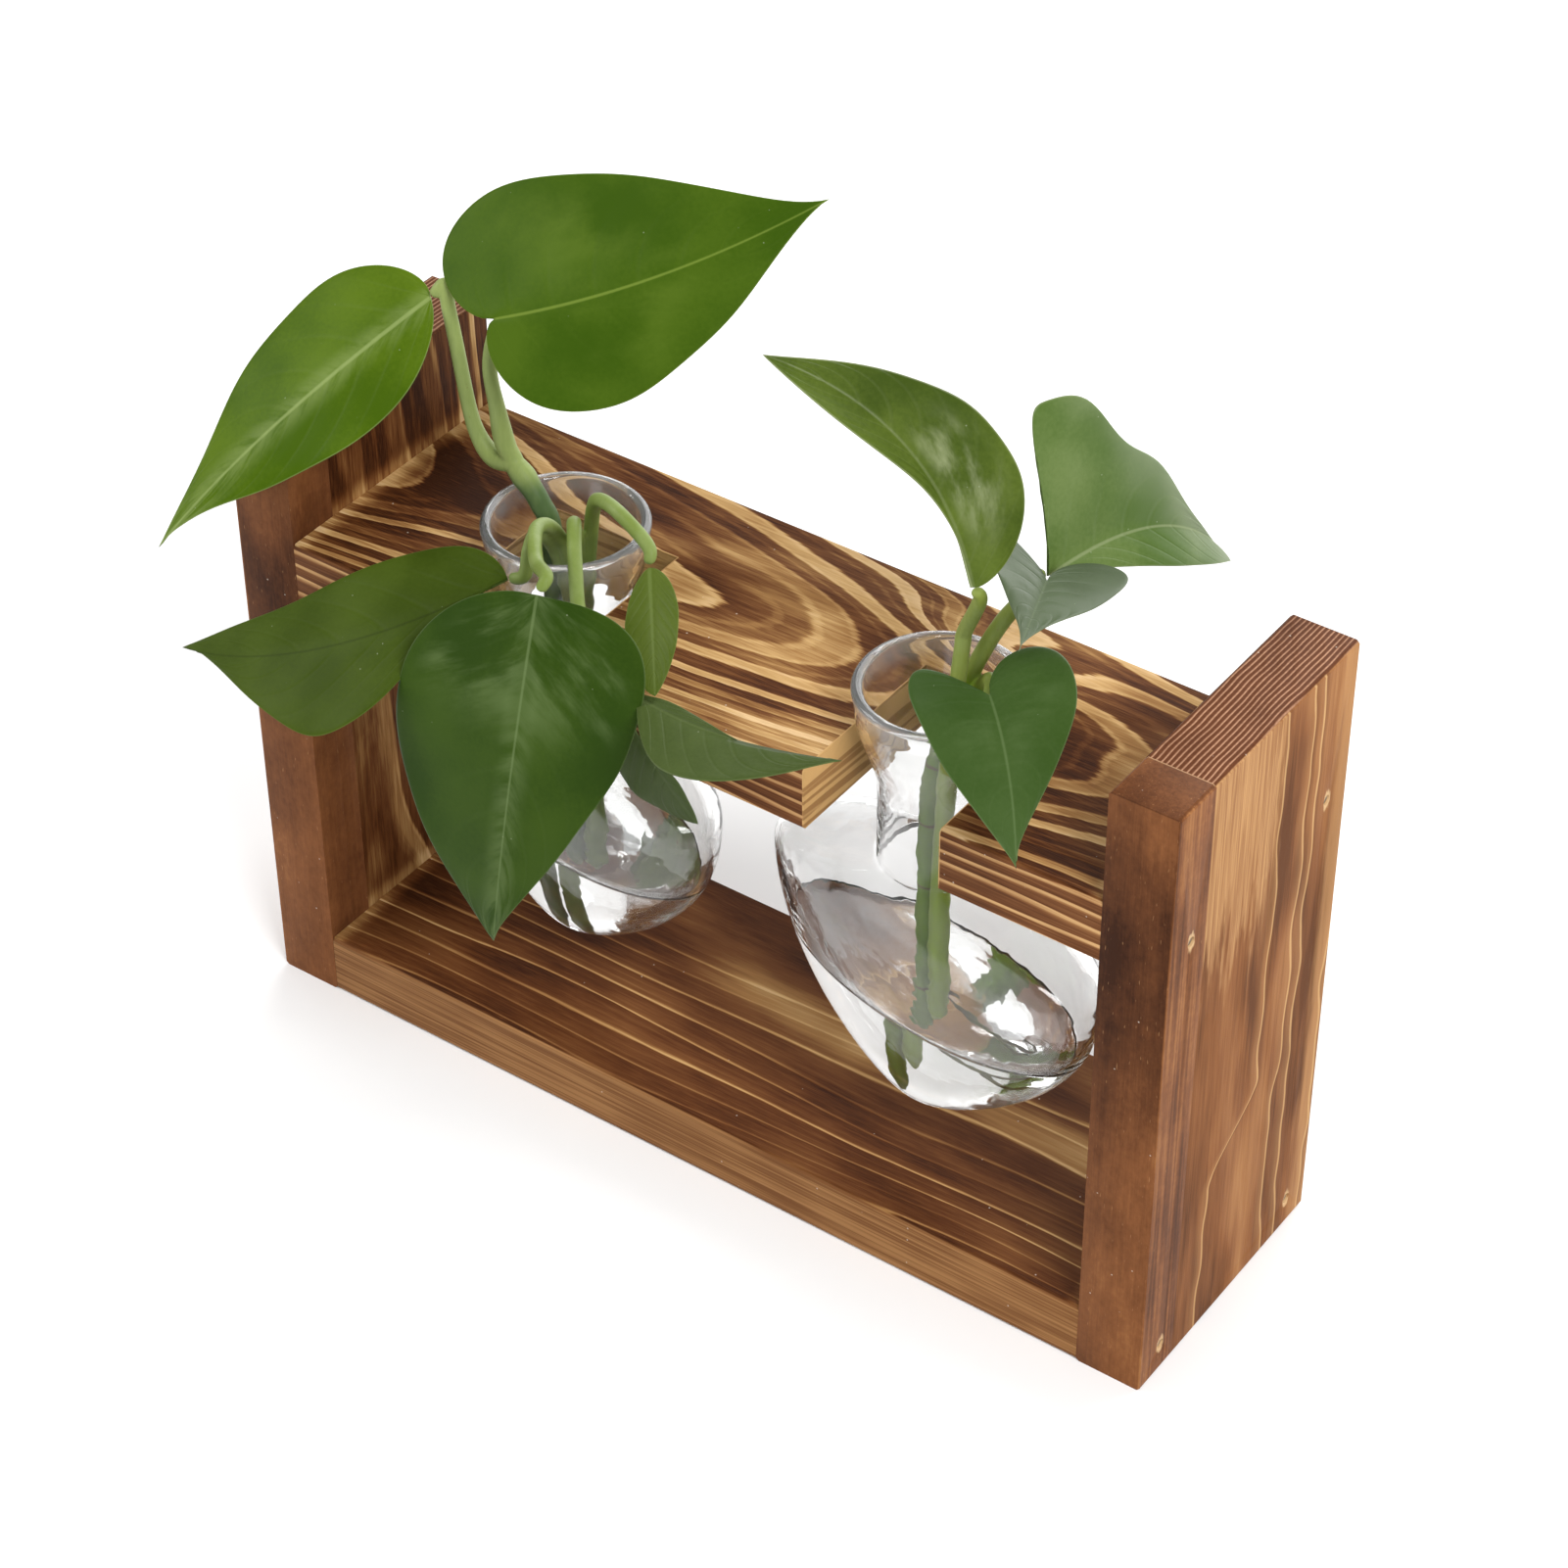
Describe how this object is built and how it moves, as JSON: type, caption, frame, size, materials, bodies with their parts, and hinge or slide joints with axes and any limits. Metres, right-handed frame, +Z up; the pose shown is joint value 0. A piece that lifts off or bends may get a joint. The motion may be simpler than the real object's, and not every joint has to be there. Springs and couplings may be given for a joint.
{
  "type": "tabletop vase stand",
  "caption": "Wooden tabletop stand whose slotted upper shelf holds flattened clear glass vases by their flared necks, with leafy cuttings in water",
  "frame": {"origin": "centre of the stand's rectangular footprint, on the surface it stands on", "axes": "+X along the stand to its right end, +Y from the open side of the slots to the back, +Z up"},
  "size_m": [0.2792, 0.1352, 0.2493],
  "materials": {
    "torched_wood": "torched and brushed softwood with pale grain lines",
    "strip_wood": "torched smooth strip",
    "steel": "bright wire brads",
    "clear_glass": "clear blown glass",
    "stem_green": "soft green stem",
    "leaf_green": "glossy green leaf"
  },
  "bodies": {
    "stand": {"left_board": "torched_wood", "right_board": "torched_wood", "lower_shelf": "torched_wood", "upper_shelf": "torched_wood", "left_strip": "strip_wood", "right_strip": "strip_wood", "upper_left_brads": "steel", "upper_right_brads": "steel", "lower_left_brads": "steel", "lower_right_brads": "steel"},
    "left_glass": {"left_vase": "clear_glass"},
    "right_glass": {"right_vase": "clear_glass"},
    "left_plant": {"left_front_stem": "stem_green", "left_back_stem": "stem_green", "left_leaf_1": "leaf_green", "left_leaf_2": "leaf_green", "left_leaf_3": "leaf_green", "left_leaf_4": "leaf_green", "left_leaf_5": "leaf_green", "left_leaf_6": "leaf_green", "left_leaf_7": "leaf_green"},
    "right_plant": {"right_front_stem": "stem_green", "right_back_stem": "stem_green", "right_leaf_1": "leaf_green", "right_leaf_2": "leaf_green", "right_leaf_3": "leaf_green", "right_leaf_4": "leaf_green"}
  },
  "joints": [
    {"name": "left_vase_slide", "type": "slide", "parent": "stand", "child": "left_glass", "axis": [0, -1, 0], "range_m": [0, 0.08]},
    {"name": "right_vase_slide", "type": "slide", "parent": "stand", "child": "right_glass", "axis": [0, -1, 0], "range_m": [0, 0.08]},
    {"name": "left_cutting_lift", "type": "slide", "parent": "left_glass", "child": "left_plant", "axis": [0, 0, 1], "range_m": [0, 0.14]},
    {"name": "right_cutting_lift", "type": "slide", "parent": "right_glass", "child": "right_plant", "axis": [0, 0, 1], "range_m": [0, 0.14]}
  ]
}
